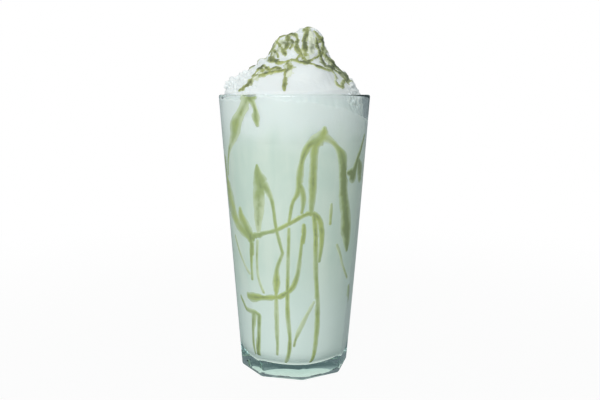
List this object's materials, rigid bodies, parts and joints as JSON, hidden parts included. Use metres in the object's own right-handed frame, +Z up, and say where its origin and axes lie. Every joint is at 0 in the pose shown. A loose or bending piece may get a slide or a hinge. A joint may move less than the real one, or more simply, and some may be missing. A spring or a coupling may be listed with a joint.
{
  "type": "pistachio milkshake in a glass",
  "caption": "Tall panelled glass tumbler filled with pale green milkshake, heaped with whipped cream and pistachio sauce.",
  "frame": {"origin": "middle of the foot, on the surface the glass stands on", "axes": "+Z up along the axis of the glass; -Y is the front, with the peak of the cream to its right (+X)"},
  "size_m": [0.0878, 0.0878, 0.2004],
  "materials": {
    "glass": "clear pressed glass, slightly green where it is thick",
    "milkshake": "smooth pale mint green drink",
    "whipped_cream": "soft white whipped cream",
    "pistachio_sauce": "thin glossy olive green sauce"
  },
  "bodies": {
    "root": {"glass": "glass", "milkshake": "milkshake", "whipped_cream": "whipped_cream"}
  },
  "joints": []
}
